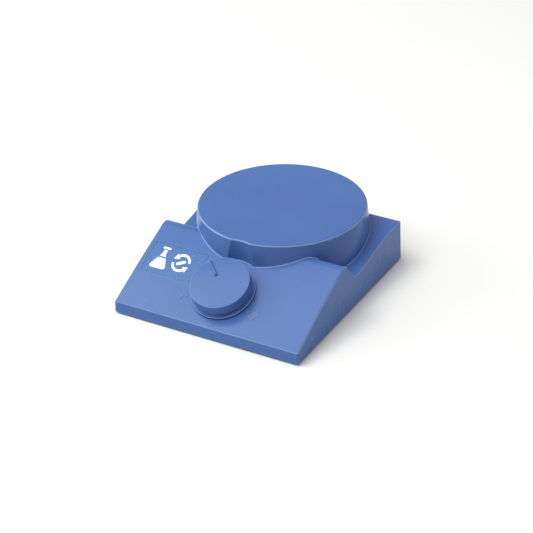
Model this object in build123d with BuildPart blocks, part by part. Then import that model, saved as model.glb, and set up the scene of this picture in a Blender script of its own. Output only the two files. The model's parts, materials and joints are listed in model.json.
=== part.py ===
from build123d import *
import os
from math import radians, tan

os.makedirs("parts", exist_ok=True)

# Everything is in millimetres. X runs to the right, Y to the back and Z up, and the
# rubber feet stand on Z = 0. Depths are counted from the front edge of the case and
# heights from its bottom edge.

# Case
CASE_W = 120.0             # width at the bottom edge
CASE_D = 130.0             # depth of the rectangular part
STAND = 1.2                # height of the bottom edge above the table
WALL = 2.4
WALL_DRAFT = 1.0           # lean of the outer walls, degrees
EDGE_R = 0.7               # rounding of the outer edges
FRONT_H = 6.7              # height of the low front wall
RIDGE = (57.8, 33.0)       # depth and height of the sharp ridge before rounding
RIDGE_R = 6.0
VALLEY = (69.6, 18.3)      # foot of the steep fall behind the ridge
VALLEY_R = 6.0
DECK_BEND = (94.0, 21.8)   # where the rear deck turns from hollow to domed
REAR_H = 24.9
SLOPE_CROWN = 0.5          # how far the control slope bulges from a flat plane
HOLLOW_CROWN = 0.55
DECK_CROWN = 1.4
SPARE = 12.0               # how far cutting outlines run past the case
HOLE_SLACK = 0.2           # round screws and necks in their through holes
POCKET_SLACK = 0.15        # round the feet in their pockets
SNUG = 0.05                # round pins and leads in their holes
PRESS_SLACK = 0.02         # between pieces that are pushed tightly together

# Set-up plate, the top of the round drum that carries the beaker
PLATE_R = 50.0
PLATE_H = 40.4
PLATE_EDGE_R = 1.2
DRUM_DEPTH = 92.5          # its centre, from the front edge
DRUM_DRAFT = 6.0
SCOOP_R = 21.0             # finger scoop in the drum, round the knob's foot
JOINT_R = 0.6              # rounding where the drum meets the case

DRUM_FOOT_R = PLATE_R + PLATE_H * tan(radians(DRUM_DRAFT))
FRONT_Y = -(DRUM_DEPTH + DRUM_FOOT_R) / 2
CASE_Y = FRONT_Y + CASE_D / 2
REAR_Y = FRONT_Y + CASE_D
DRUM_Y = FRONT_Y + DRUM_DEPTH

# Knob and scale, with heights above the plane that touches the slope under the knob
KNOB_ALONG = 0.395         # place along the slope, from the front edge to the ridge
KNOB_TOP = 9.5             # at the rim, where the domed top begins
KNOB_CROWN = 0.4
KNOB_FLAT_R = 4.0          # flat middle of the top
KNOB_ROOF = 1.9
KNOB_R = 17.5              # top face
KNOB_FOOT_R = 17.8
KNOB_BORE_R = 15.8
KNOB_GAP = 0.3             # air between the flange and the slope
KNOB_EDGE_R = 0.5
FLANGE_R = 19.1
FLANGE_TOP = 1.4
FLANGE_EDGE_R = 0.45
RING_TOP = 3.4             # two fine grooves lie between here and the flange
RING_COUNT = 2
GROOVE_W = 0.4
GROOVE_R = 17.1
HUB_R = 5.2
HUB_LOW = 3.6
KNOB_RIB_T = 1.1
POINTER_R = (4.2, 16.4)    # inner and outer end of the raised pointer
POINTER_W = 3.0            # at its root, inside the domed top
POINTER_H = 1.7
POINTER_LEAN = 35.0        # lean of its flanks, degrees
POINTER_ANGLE = 48.0       # anticlockwise from straight up the slope
SCALE_START = 114.0        # slowest mark, anticlockwise
SCALE_END = -112.0         # fastest mark, clockwise
SCALE_R = 21.9
DOT_R = 0.7
MARK_H = 0.25              # height of the raised scale marks
MARK_ROOT = 1.0            # how deep their roots run into the wall
STROKE_R = 25.8
STROKE_STEP = 4.0          # degrees between the three strokes
STROKE_L = 3.4
STROKE_W = 0.6
RING_MARK_R = 1.3

# Label strip on the slope
LABEL_W = 36.0
LABEL_D = 20.0
LABEL_X = -38.3
LABEL_DEPTH = 31.8
LABEL_RECESS = 0.4
LABEL_SINK = 0.08          # how far the film lies below the slope
LABEL_GAP = 0.2
LABEL_CORNER_R = 0.8

# Base, feet and case screws
BASE_T = 2.2
BASE_INSET = WALL + 0.2    # the base lies inside the case wall with a little slack
RIM_INSET = 0.1
RIM_T = 1.2
RIM_H = 1.6
ROUND_END_R = DRUM_FOOT_R - BASE_INSET - (BASE_T + RIM_H) * tan(radians(DRUM_DRAFT))
PAD_R = 4.5
PAD_TOP = 4.1              # top of the screw pads on the base
PILLAR_LOW = 4.2
PILLAR_R = 3.6
PILOT_R = 1.5
CASE_PILOT = 9.5           # depths of the screw holes in their pillars
BRACKET_PILOT = 8.5
CASE_SCREW_X = 52.0
CASE_SCREW_DEPTHS = (25.0, 103.0)
CASE_SCREW_L = 11.0
HEAD_SEAT = 2.3
HEAD_R = 2.75
HEAD_H = 1.9
HEAD_SLACK = 0.35          # round each head in its counterbore
FOOT_X = 50.0
FOOT_DEPTHS = {"front": 11.5, "rear": 120.5}
FOOT_R = 6.0
FOOT_EDGE_R = 0.8
FOOT_DISH_R = 3.2
FOOT_DISH_H = 0.6
FOOT_SEAT = 1.0            # depth of the pockets that the feet sit in
VENT_R = 27.0
VENT_COUNT = 12
VENT_L = 10.0
VENT_W = 2.2
RATING_W = 46.0            # blank rating label under the base
RATING_D = 22.0
RATING_DEPTH = 42.0
RATING_RECESS = 0.3
RATING_T = 0.2

# Motor and its bracket, heights above the bottom edge
BRACKET_LOW = 23.8
BRACKET_TOP = 25.0
BRACKET_SCREW_R = 36.0
BRACKET_START = 90.0       # the first of three arms points to the back
BRACKET_HUB_R = 17.0
ARM_W = 9.0
MOTOR_SCREW_R = 8.5
MOTOR_HEAD_R = 1.9
MOTOR_HEAD_H = 1.3
MOTOR_PILOT_R = 1.0
MOTOR_SCREW_L = 2.0
BRACKET_SCREW_L = 8.0
CAN_R = 14.0
CAN_T = 1.0
CAN_EDGE_R = 0.8
CAN_LOW = 6.8
CAN_NECK_R = 4.0
CAN_NECK_TOP = 25.6
BUSH_R = 3.0
UPPER_BUSH_LOW = 22.2
LOWER_BUSH_LOW = 5.8
SHAFT_R = 1.5
RUNNING_FIT = 0.03
CAP_TOP = 8.8
CAP_NECK_LOW = 5.0
CAP_NECK_R = 4.4
SHAFT_LOW = 5.9
SHAFT_TOP = 30.3
SHAFT_CHAMFER = 0.3
MAGNET_ARC_IN = 10.5
MAGNET_ARC_LOW = 13.0
MAGNET_ARC_TOP = 22.0
MAGNET_ARC_GAP = 6.5       # width of the gaps between the two field magnets
CORE_LOW = 14.0
CORE_TOP = 21.0
CORE_R = 9.8
CORE_RIM_R = 8.3
CORE_HUB_R = 3.3
POLE_W = 3.0
POLE_L = 8.7               # from the axis into the rim
POLE_GAP = 2.0
COIL_IN = 4.0
COIL_OUT = 7.6
COIL_HALF_W = 3.2
COIL_OVERHANG = 1.3
COIL_EDGE_R = 0.9
COMMUTATOR_R = 3.3
SLEEVE_R = 2.3
COMMUTATOR_LOW = 9.3
COMMUTATOR_TOP = 12.2
SEGMENT_GAP = 0.4
BRUSH_AIR = 0.1            # keeps the brush faces just clear of the commutator
BRUSH_W = 2.0
BRUSH_L = 3.4
BRUSH_LOW = 9.7
BRUSH_REACH = COMMUTATOR_R + BRUSH_AIR + BRUSH_L
SPRING_T = 0.3
GUIDE_W = 3.8
GUIDE_IN = 4.4
GUIDE_OUT = 8.6
BRUSH_SLOT_L = 18.2        # the slot for the brushes runs right through both guides
TERMINAL_X = 8.0
TERMINAL_Y = -7.0
TERMINAL_LOW = 4.0
TERMINAL_W = 2.2
TERMINAL_T = 0.5

# Magnet carrier
CARRIER_R = 25.0
CARRIER_LOW = 29.0
CARRIER_TOP = 36.6
CARRIER_EDGE_R = 0.8
CARRIER_HUB_R = 5.6
CARRIER_HUB_LOW = 26.9
CHANNEL_LOW = 30.4
CHANNEL_W = 15.4
CHANNEL_L = 46.4
YOKE_T = 1.5
YOKE_L = 46.2
MAGNET_SIDE = 15.0
MAGNET_H = 4.5
MAGNET_X = 15.6
MAGNET_CHAMFER = 0.5
GRUB_R = 1.5
GRUB_L = 3.6
GRUB_H = 28.0
GRUB_SOCKET_R = 0.85
GRUB_SOCKET_L = 1.3

# Potentiometer and control board, heights along the knob's axis
PANEL_SEAT = -2.9          # inner seat that the potentiometer hangs from
POT_SEAT_R = 8.0
POT_W = 9.8
POT_D = 11.0
POT_PLATE_T = 1.0
POT_CORNER_R = 0.6
POT_LOW = -8.9
POT_CHAMBER_R = 4.3
POT_CHAMBER_LOW = -6.4
BUSHING_R = 3.5
BUSHING_TOP = 3.2
BUSHING_CHAMFER = 0.4
WASHER_LOW = 0.02          # just clear of the slope's bulge
WASHER_T = 0.5
WASHER_R = 6.2
WASHER_BORE_R = 3.6
NUT_R = 5.77               # corner radius, for 10 mm across the flats
NUT_T = 2.0
DIAL_SHAFT_R = 3.0
DIAL_SHAFT_LOW = -4.3
DIAL_SHAFT_TOP = 7.55
DIAL_FLAT = 2.2            # distance of the D flat from the shaft's axis
WIPER_R = 3.9
WIPER_T = 1.2
CONTACT_SIZE = (1.8, 0.8, 0.4)
CONTACT_R = 2.34           # how far out the wiper's contact sits
BOARD_TOP = -9.2
BOARD_T = 1.6
BOARD_W = 68.0
BOARD_LOW = -9.0           # ends of the board, along the slope from the knob's axis
BOARD_HIGH = 28.0
BOARD_CORNER_R = 1.5
BOARD_SCREWS = [(-30.0, 22.0), (30.0, 22.0)]
BOARD_PILOT = 6.0
BOARD_PILOT_R = 1.1
BOARD_HEAD_R = 2.2
BOARD_HEAD_H = 1.4
BOARD_SCREW_L = 7.0
PIN_R = 0.35
PIN_L = 3.0
PIN_POKE = 0.4             # how far pins stand out past the board
POT_PINS = [(-2.5, -4.8), (0.0, -4.8), (2.5, -4.8)]
CAPACITOR_AT = (-12.0, 19.0)
CAPACITOR_PINS_X = (-13.75, -10.25)
CAPACITOR_R = 4.0
CAPACITOR_L = 11.0
CAPACITOR_EDGE_R = 0.5
TRANSISTOR_AT = (10.0, 9.0)
TRANSISTOR_W = 10.0
TRANSISTOR_L = 9.2
TRANSISTOR_T = 4.4
TAB_L = 15.4               # the metal tab behind the transistor's body
TAB_T = 1.3
TAB_HOLE_AT = 12.4
TAB_HOLE_R = 1.8
TRANSISTOR_PINS = [(7.46, 6.5), (10.0, 6.5), (12.54, 6.5)]
TRANSISTOR_LEG = (0.7, 3.2, 0.7)
TRANSISTOR_LEG_DROP = 2.3  # how far its legs lie below the back of the board
CHIP_AT = (16.0, 18.0)
CHIP_SIZE = (9.9, 3.9, 1.5)
CHIP_AIR = 0.1             # under the chip's body
CHIP_LEG = (0.45, 1.3, 0.5)
CHIP_LEGS = (7, 2)         # in a row, and rows
CHIP_LEG_PITCH = (1.27, 5.2)
RESISTORS_AT = (-17.0, 12.0)
RESISTOR_SIZE = (2.0, 1.25, 0.6)
RESISTOR_GRID = (3, 2)
RESISTOR_PITCH = (4.0, 4.5)
DIODE_AT = (20.0, 4.0)
DIODE_SIZE = (4.4, 2.6, 2.2)
DIODE_ENDS = (5.4, 1.5, 0.5)  # its metal ends, as one bar through the body
CONNECTOR_X = 27.0
CONNECTOR_U = 12.0
CONNECTOR_SIZE = (7.4, 5.8, 6.6)
CONNECTOR_LEAD_H = 3.5     # where the leads enter, below the board
CONNECTOR_GRIP = 3.0       # how far they go in

# Supply socket in the rear wall, and the inner leads
JACK_X = 46.5
JACK_H = 12.0
JACK_R = 4.0
JACK_FLANGE_R = 5.6
JACK_FLANGE_T = 1.0
JACK_SINK = 0.6            # depth of the flat spot under the flange
JACK_FLAT_R = 5.9
JACK_HOLE_R = 4.1
JACK_EDGE_R = 0.3
JACK_PIN_TIP_R = 0.5
JACK_SEAT_R = 7.0
JACK_BODY = 11.6           # from the wall's face to the back of the socket
JACK_BORE_R = 2.8
JACK_BORE_L = 9.5
JACK_PIN_R = 1.05
JACK_PIN_L = 8.3
JACK_NUT_R = 6.35          # corner radius, for 11 mm across the flats
JACK_NUT_T = 2.2
TAG_L = 4.0
TAG_W = 1.6
TAG_T = 0.4
LEAD_D = 1.3
LEAD_PITCH = 2.6
BEND_SHARE = 0.45          # share of each straight run that a bend at its end may take
CONNECTOR_RUN = 6.0        # straight stretch of each lead beyond its connector
SOLDER_GAP = 0.3           # kept between the end of a lead and its terminal

STANDING = (Align.CENTER, Align.CENTER, Align.MIN)
HANGING = (Align.CENTER, Align.CENTER, Align.MAX)
FORWARD = (Align.CENTER, Align.MIN, Align.MAX)


def side_point(depth, height):
    """A point of the side view, in the Y and Z of the model."""
    return (FRONT_Y + depth, STAND + height)


slope_line = Plane.YZ * SagittaArc(side_point(0, FRONT_H), side_point(*RIDGE), SLOPE_CROWN)
up_slope = slope_line.tangent_at(KNOB_ALONG)
knob_foot = slope_line.position_at(KNOB_ALONG)
knob_up = Vector(1, 0, 0).cross(up_slope)
KNOB_PLANE = Plane(origin=knob_foot, x_dir=(1, 0, 0), z_dir=knob_up)
KNOB_SECTION = Plane(origin=knob_foot, x_dir=(1, 0, 0), z_dir=-up_slope)
KNOB_AXIS = Axis(knob_foot, knob_up)
JACK_PLANE = Plane(origin=(JACK_X, REAR_Y, STAND + JACK_H), x_dir=(-1, 0, 0), z_dir=(0, 1, 0))
GRUB_PLANE = Plane(origin=(0, DRUM_Y, STAND + GRUB_H), x_dir=(1, 0, 0), z_dir=(0, 1, 0))
CASE_SCREWS = [
    (x, FRONT_Y + depth) for depth in CASE_SCREW_DEPTHS for x in (-CASE_SCREW_X, CASE_SCREW_X)
]


def case_block(inset):
    """The long body with its slope, ridge and rear deck, shrunk by inset on every side."""
    ridge = side_point(*RIDGE)
    valley = side_point(*VALLEY)
    deck_bend = side_point(*DECK_BEND)
    rear = side_point(CASE_D, REAR_H)
    front = side_point(0, FRONT_H)
    ahead = side_point(-SPARE, FRONT_H - SPARE / 2)
    with BuildPart() as block:
        with BuildSketch(Plane.XY.offset(STAND)):
            with Locations((0, CASE_Y)):
                Rectangle(CASE_W - 2 * inset, CASE_D - 2 * inset)
        extrude(amount=RIDGE[1] + SPARE, taper=WALL_DRAFT)
        with BuildSketch(Plane.YZ) as side:
            with BuildLine():
                Line(ahead, front)
                SagittaArc(front, ridge, SLOPE_CROWN)
                Line(ridge, valley)
                SagittaArc(valley, deck_bend, -HOLLOW_CROWN)
                SagittaArc(deck_bend, rear, DECK_CROWN)
                Polyline(
                    rear,
                    side_point(CASE_D + SPARE, REAR_H),
                    side_point(CASE_D + SPARE, -SPARE),
                    side_point(-SPARE, -SPARE),
                    ahead,
                )
            make_face()
            fillet(side.vertices().sort_by_distance(ridge)[0], RIDGE_R)
            fillet(side.vertices().sort_by_distance(valley)[0], VALLEY_R)
            if inset:
                offset(amount=-inset, kind=Kind.INTERSECTION)
        extrude(amount=CASE_W, both=True, mode=Mode.INTERSECT)
    return block.part


def drum(inset):
    """The drum under the set-up plate, shrunk by inset."""
    foot_r = DRUM_FOOT_R - inset
    height = PLATE_H - inset
    with BuildPart() as body:
        with Locations((0, DRUM_Y, STAND)):
            Cone(foot_r, foot_r - height * tan(radians(DRUM_DRAFT)), height, align=STANDING)
    return body.part


def turned(radius, low, high, mode=Mode.ADD):
    """A cylinder on the drive's axis, between two heights above the bottom edge."""
    with Locations((0, DRUM_Y, STAND + low)):
        Cylinder(radius, high - low, align=STANDING, mode=mode)


def along_dial(radius, low, high, mode=Mode.ADD):
    """A cylinder on the knob's axis, between two heights above the slope."""
    with Locations(KNOB_PLANE.offset(low)):
        Cylinder(radius, high - low, align=STANDING, mode=mode)


def pan_screw(head_r, head_h, shank_r, length):
    """A cross-head screw that points up, with the underside of its head at Z = 0."""
    with BuildPart() as screw:
        Cylinder(head_r, head_h, align=HANGING)
        fillet(screw.edges().group_by(Axis.Z)[0], head_h * 0.45)
        Cylinder(shank_r, length, align=STANDING)
        chamfer(screw.edges().group_by(Axis.Z)[-1], shank_r * 0.35)
        with Locations((0, 0, -head_h)):
            Box(head_r * 1.1, head_r * 0.26, head_h * 0.6, align=STANDING, mode=Mode.SUBTRACT)
            Box(head_r * 0.26, head_r * 1.1, head_h * 0.6, align=STANDING, mode=Mode.SUBTRACT)
    return screw.part


def bend_radii(route):
    """The widest bends that fit a route's corners, with some straight lead between them."""
    radii = []
    for before, corner, after in zip(route, route[1:], route[2:]):
        arriving = Vector(corner) - Vector(before)
        leaving = Vector(after) - Vector(corner)
        half_turn = radians(arriving.get_angle(leaving)) / 2
        radii.append(BEND_SHARE * min(arriving.length, leaving.length) / tan(half_turn))
    return radii


# ---- Case ----

# The long body, with its outer edges and upright corners rounded
with BuildPart() as rounded_block:
    add(case_block(0))
    upper_edges = rounded_block.edges().filter_by_position(Axis.Z, STAND + 1, STAND + PLATE_H)
    cross_edges = upper_edges.filter_by(Axis.X).sort_by(Axis.Y)
    side_edges = upper_edges.filter_by(Axis.X, reverse=True)
    fillet([cross_edges[0], cross_edges[-1]] + side_edges, EDGE_R)

# The drum, with its rounded rim and the finger scoop round the knob
with BuildPart() as rounded_drum:
    add(drum(0))
    with Locations((0, knob_foot.Y, STAND)):
        Cylinder(SCOOP_R, PLATE_H, align=STANDING, mode=Mode.SUBTRACT)
    fillet(rounded_drum.edges().group_by(Axis.Z)[-1], PLATE_EDGE_R)

with BuildPart() as outer_form:
    add(rounded_block.part)
    add(rounded_drum.part)
    meeting_edges = outer_form.edges(Select.NEW)
    fillet(meeting_edges.filter_by_position(Axis.Z, STAND + 15, STAND + PLATE_H), JOINT_R)

# The room inside the drum leaves a full wall behind the scoop
with BuildPart() as drum_room:
    add(drum(WALL))
    with Locations((0, knob_foot.Y, STAND)):
        Cylinder(SCOOP_R + WALL, PLATE_H, align=STANDING, mode=Mode.SUBTRACT)

# Pillars and seats inside, which reach up into the middle of the wall above them
with BuildPart() as pillars:
    with Locations((0, 0, STAND + PILLAR_LOW)):
        with Locations(*CASE_SCREWS):
            Cylinder(PILLAR_R, PLATE_H, align=STANDING)
    with Locations((0, DRUM_Y, STAND + BRACKET_TOP)):
        with PolarLocations(BRACKET_SCREW_R, 3, start_angle=BRACKET_START):
            Cylinder(PILLAR_R, PLATE_H, align=STANDING)
    along_dial(POT_SEAT_R, PANEL_SEAT, 0)
    with Locations(KNOB_PLANE.offset(BOARD_TOP)):
        with Locations(*BOARD_SCREWS):
            Cylinder(PILLAR_R, -BOARD_TOP, align=STANDING)
    with Locations(JACK_PLANE.offset(-WALL - JACK_SINK)):
        Cylinder(JACK_SEAT_R, WALL, align=STANDING)

with BuildPart() as middle_form:
    add(case_block(WALL / 2))
    add(drum(WALL / 2))

with BuildPart() as inner_fittings:
    add(pillars.part)
    add(middle_form.part, mode=Mode.INTERSECT)

# The thin layer of the slope that makes room for the label strip
with BuildPart() as label_recess:
    with BuildSketch(Plane.XY.offset(STAND)):
        with Locations((LABEL_X, FRONT_Y + LABEL_DEPTH)):
            RectangleRounded(LABEL_W, LABEL_D, LABEL_CORNER_R)
    extrude(amount=PLATE_H)
    add(case_block(LABEL_RECESS), mode=Mode.SUBTRACT)

with BuildPart() as upper_housing:
    add(outer_form.part)
    add(case_block(WALL), mode=Mode.SUBTRACT)
    add(drum_room.part, mode=Mode.SUBTRACT)
    add(inner_fittings.part)
    add(label_recess.part, mode=Mode.SUBTRACT)
    # Raised scale marks: a dot and a ring at the slow end, a dot and three strokes at the fast end
    with Locations(KNOB_PLANE.offset(MARK_H)):
        for angle in (SCALE_START, SCALE_END):
            with PolarLocations(SCALE_R, 1, start_angle=90 + angle):
                Cylinder(DOT_R, MARK_ROOT, align=HANGING)
        for stroke in (-1, 0, 1):
            with PolarLocations(STROKE_R, 1, start_angle=90 + SCALE_END + stroke * STROKE_STEP):
                Box(STROKE_L, STROKE_W, MARK_ROOT, align=HANGING)
        with PolarLocations(STROKE_R, 1, start_angle=90 + SCALE_START):
            Cylinder(RING_MARK_R, MARK_ROOT, align=HANGING)
            Cylinder(RING_MARK_R - STROKE_W, MARK_H, align=HANGING, mode=Mode.SUBTRACT)
    # Hole for the potentiometer's threaded neck
    along_dial(BUSHING_R + HOLE_SLACK, PANEL_SEAT - 1, SPARE, mode=Mode.SUBTRACT)
    # Flat spot and hole for the supply socket
    with Locations(JACK_PLANE.offset(-JACK_SINK)):
        Cylinder(JACK_FLAT_R, SPARE, align=STANDING, mode=Mode.SUBTRACT)
        Cylinder(JACK_HOLE_R, 2 * SPARE, mode=Mode.SUBTRACT)
    # Pilot holes for the screws
    with Locations((0, 0, STAND + PILLAR_LOW)):
        with Locations(*CASE_SCREWS):
            Cylinder(PILOT_R, CASE_PILOT, align=STANDING, mode=Mode.SUBTRACT)
    with Locations((0, DRUM_Y, STAND + BRACKET_TOP)):
        with PolarLocations(BRACKET_SCREW_R, 3, start_angle=BRACKET_START):
            Cylinder(PILOT_R, BRACKET_PILOT, align=STANDING, mode=Mode.SUBTRACT)
    with Locations(KNOB_PLANE.offset(BOARD_TOP)):
        with Locations(*BOARD_SCREWS):
            Cylinder(BOARD_PILOT_R, BOARD_PILOT, align=STANDING, mode=Mode.SUBTRACT)
upper_housing.part.label = "upper_housing"
export_step(upper_housing.part, "parts/upper_housing.step")

# Thin film in the recess, without any lettering
with BuildPart() as label_strip:
    with BuildSketch(Plane.XY.offset(STAND)):
        with Locations((LABEL_X, FRONT_Y + LABEL_DEPTH)):
            RectangleRounded(
                LABEL_W - 2 * LABEL_GAP, LABEL_D - 2 * LABEL_GAP, LABEL_CORNER_R - LABEL_GAP
            )
    extrude(amount=PLATE_H)
    add(case_block(LABEL_RECESS), mode=Mode.SUBTRACT)
    add(case_block(LABEL_SINK), mode=Mode.INTERSECT)
label_strip.part.label = "label_strip"
export_step(label_strip.part, "parts/label_strip.step")

# ---- Base ----

# The base plate lies inside the case wall, level with the bottom edge
with BuildSketch() as base_outline:
    with Locations((0, CASE_Y)):
        Rectangle(CASE_W - 2 * BASE_INSET, CASE_D - 2 * BASE_INSET)
    with Locations((0, DRUM_Y)):
        Circle(ROUND_END_R)

with BuildPart() as base_plate:
    with BuildSketch(Plane.XY.offset(STAND)):
        add(base_outline.sketch)
    extrude(amount=BASE_T)
    # Locating rim just inside the case wall
    with BuildSketch(Plane.XY.offset(STAND + BASE_T)):
        add(base_outline.sketch)
        offset(amount=-RIM_INSET)
        offset(amount=-RIM_T, mode=Mode.SUBTRACT)
    extrude(amount=RIM_H)
    # Raised pads with counterbored holes for the case screws
    with Locations((0, 0, STAND)):
        with Locations(*CASE_SCREWS):
            Cylinder(PAD_R, PAD_TOP, align=STANDING)
            Cylinder(HEAD_R + HEAD_SLACK, HEAD_SEAT, align=STANDING, mode=Mode.SUBTRACT)
            Cylinder(PILOT_R + HOLE_SLACK, PAD_TOP, align=STANDING, mode=Mode.SUBTRACT)
    # Pockets for the feet
    for depth in FOOT_DEPTHS.values():
        with Locations((-FOOT_X, FRONT_Y + depth, STAND), (FOOT_X, FRONT_Y + depth, STAND)):
            Cylinder(FOOT_R + POCKET_SLACK, FOOT_SEAT, align=STANDING, mode=Mode.SUBTRACT)
    # Vent slots round the motor
    with BuildSketch(Plane.XY.offset(STAND)):
        with Locations((0, DRUM_Y)):
            with PolarLocations(VENT_R, VENT_COUNT):
                SlotOverall(VENT_L, VENT_W)
    extrude(amount=BASE_T, mode=Mode.SUBTRACT)
    # Shallow field for the rating label
    with BuildSketch(Plane.XY.offset(STAND)):
        with Locations((0, FRONT_Y + RATING_DEPTH)):
            RectangleRounded(RATING_W, RATING_D, LABEL_CORNER_R)
    extrude(amount=RATING_RECESS, mode=Mode.SUBTRACT)
base_plate.part.label = "base_plate"
export_step(base_plate.part, "parts/base_plate.step")

# A blank rating label, sunk in its field
with BuildPart() as rating_label:
    with BuildSketch(Plane.XY.offset(STAND + RATING_RECESS)):
        with Locations((0, FRONT_Y + RATING_DEPTH)):
            RectangleRounded(
                RATING_W - 2 * LABEL_GAP, RATING_D - 2 * LABEL_GAP, LABEL_CORNER_R - LABEL_GAP
            )
    extrude(amount=-RATING_T)
rating_label.part.label = "rating_label"
export_step(rating_label.part, "parts/rating_label.step")

# Four rubber feet with a dished sole
for row, depth in FOOT_DEPTHS.items():
    for side, x in {"left": -FOOT_X, "right": FOOT_X}.items():
        with BuildPart() as foot:
            with Locations((x, FRONT_Y + depth)):
                Cylinder(FOOT_R, STAND + FOOT_SEAT, align=STANDING)
                fillet(foot.edges().group_by(Axis.Z)[0], FOOT_EDGE_R)
                Cylinder(FOOT_DISH_R, FOOT_DISH_H, align=STANDING, mode=Mode.SUBTRACT)
        foot.part.label = f"foot_{row}_{side}"
        export_step(foot.part, f"parts/foot_{row}_{side}.step")

with BuildPart() as case_screws:
    with Locations((0, 0, STAND + HEAD_SEAT)):
        with Locations(*CASE_SCREWS):
            add(pan_screw(HEAD_R, HEAD_H, PILOT_R - PRESS_SLACK, CASE_SCREW_L))
case_screws.part.label = "case_screws"
export_step(case_screws.part, "parts/case_screws.step")

# ---- Knob and potentiometer ----

knob_side = [(KNOB_R, KNOB_TOP), (KNOB_FOOT_R, RING_TOP)]
for ring in range(RING_COUNT):
    groove_top = RING_TOP - 2 * GROOVE_W * ring
    knob_side.append((GROOVE_R, groove_top))
    knob_side.append((GROOVE_R, groove_top - GROOVE_W))
    knob_side.append((KNOB_FOOT_R, groove_top - GROOVE_W))

with BuildPart() as speed_knob:
    with BuildSketch(KNOB_SECTION):
        with BuildLine():
            crown = Line((0, KNOB_TOP + KNOB_CROWN), (KNOB_FLAT_R, KNOB_TOP + KNOB_CROWN))
            TangentArc(crown @ 1, (KNOB_R, KNOB_TOP), tangent=crown % 1)
            Polyline(
                *knob_side,
                (KNOB_FOOT_R, FLANGE_TOP),
                (FLANGE_R, FLANGE_TOP),
                (FLANGE_R, KNOB_GAP),
                (KNOB_BORE_R, KNOB_GAP),
                (KNOB_BORE_R, KNOB_TOP - KNOB_ROOF),
                (0, KNOB_TOP - KNOB_ROOF),
                (0, KNOB_TOP + KNOB_CROWN),
            )
        make_face()
    revolve(axis=KNOB_AXIS)
    for radius, rounding in {FLANGE_R: FLANGE_EDGE_R, KNOB_R: KNOB_EDGE_R}.items():
        circles = speed_knob.edges().filter_by(GeomType.CIRCLE)
        fillet(circles.filter_by(lambda edge: abs(edge.radius - radius) < 0.01), rounding)
    # Hub with a D bore, tied to the wall by ribs
    along_dial(HUB_R, HUB_LOW, KNOB_TOP - KNOB_ROOF)
    with Locations(KNOB_PLANE.offset(HUB_LOW)):
        with PolarLocations((HUB_R + KNOB_BORE_R) / 2, 6):
            Box(KNOB_BORE_R - HUB_R + 1, KNOB_RIB_T, KNOB_TOP - KNOB_ROOF - HUB_LOW, align=STANDING)
    with BuildSketch(KNOB_PLANE.offset(HUB_LOW)):
        Circle(DIAL_SHAFT_R + PRESS_SLACK)
        with Locations((0, DIAL_FLAT + PRESS_SLACK)):
            Rectangle(2 * HUB_R, HUB_R, align=(Align.CENTER, Align.MIN), mode=Mode.SUBTRACT)
    extrude(amount=KNOB_TOP - KNOB_ROOF - HUB_LOW, mode=Mode.SUBTRACT)
    # Raised pointer with a roof-shaped section
    with BuildSketch(KNOB_PLANE.offset(KNOB_TOP)):
        with PolarLocations(sum(POINTER_R) / 2, 1, start_angle=90 + POINTER_ANGLE):
            Rectangle(POINTER_R[1] - POINTER_R[0], POINTER_W)
    extrude(amount=POINTER_H, taper=POINTER_LEAN)
speed_knob.part.label = "speed_knob"
export_step(speed_knob.part, "parts/speed_knob.step")

with BuildPart() as dial_shaft:
    along_dial(DIAL_SHAFT_R, DIAL_SHAFT_LOW, DIAL_SHAFT_TOP)
    with BuildSketch(KNOB_PLANE.offset(HUB_LOW)):
        with Locations((0, DIAL_FLAT)):
            Rectangle(2 * HUB_R, HUB_R, align=(Align.CENTER, Align.MIN))
    extrude(amount=HUB_R, mode=Mode.SUBTRACT)
dial_shaft.part.label = "dial_shaft"
export_step(dial_shaft.part, "parts/dial_shaft.step")

# The wiper disc turns with the shaft inside the potentiometer and carries its contact
with BuildPart() as wiper_disc:
    along_dial(WIPER_R, DIAL_SHAFT_LOW - WIPER_T, DIAL_SHAFT_LOW)
    with Locations(KNOB_PLANE.offset(DIAL_SHAFT_LOW - WIPER_T)):
        with PolarLocations(CONTACT_R, 1, start_angle=90 + POINTER_ANGLE):
            Box(*CONTACT_SIZE, align=HANGING)
wiper_disc.part.label = "wiper_disc"
export_step(wiper_disc.part, "parts/wiper_disc.step")

# Front plate and threaded neck of the potentiometer
with BuildPart() as pot_bushing:
    with BuildSketch(KNOB_PLANE.offset(PANEL_SEAT)):
        RectangleRounded(POT_W, POT_D, POT_CORNER_R)
    extrude(amount=-POT_PLATE_T)
    along_dial(BUSHING_R, PANEL_SEAT, BUSHING_TOP)
    chamfer(pot_bushing.edges().filter_by(GeomType.CIRCLE).sort_by(KNOB_AXIS)[-1], BUSHING_CHAMFER)
    along_dial(DIAL_SHAFT_R + RUNNING_FIT, PANEL_SEAT - SPARE, BUSHING_TOP + 1, mode=Mode.SUBTRACT)
pot_bushing.part.label = "pot_bushing"
export_step(pot_bushing.part, "parts/pot_bushing.step")

with BuildPart() as pot_body:
    with BuildSketch(KNOB_PLANE.offset(PANEL_SEAT - POT_PLATE_T)):
        RectangleRounded(POT_W, POT_D, POT_CORNER_R)
    extrude(amount=POT_LOW - PANEL_SEAT + POT_PLATE_T)
    along_dial(POT_CHAMBER_R, POT_CHAMBER_LOW, PANEL_SEAT, mode=Mode.SUBTRACT)
pot_body.part.label = "pot_body"
export_step(pot_body.part, "parts/pot_body.step")

with BuildPart() as pot_terminals:
    with Locations(KNOB_PLANE.offset(POT_LOW)):
        with Locations(*POT_PINS):
            Cylinder(PIN_R, PIN_L, align=HANGING)
pot_terminals.part.label = "pot_terminals"
export_step(pot_terminals.part, "parts/pot_terminals.step")

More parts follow.
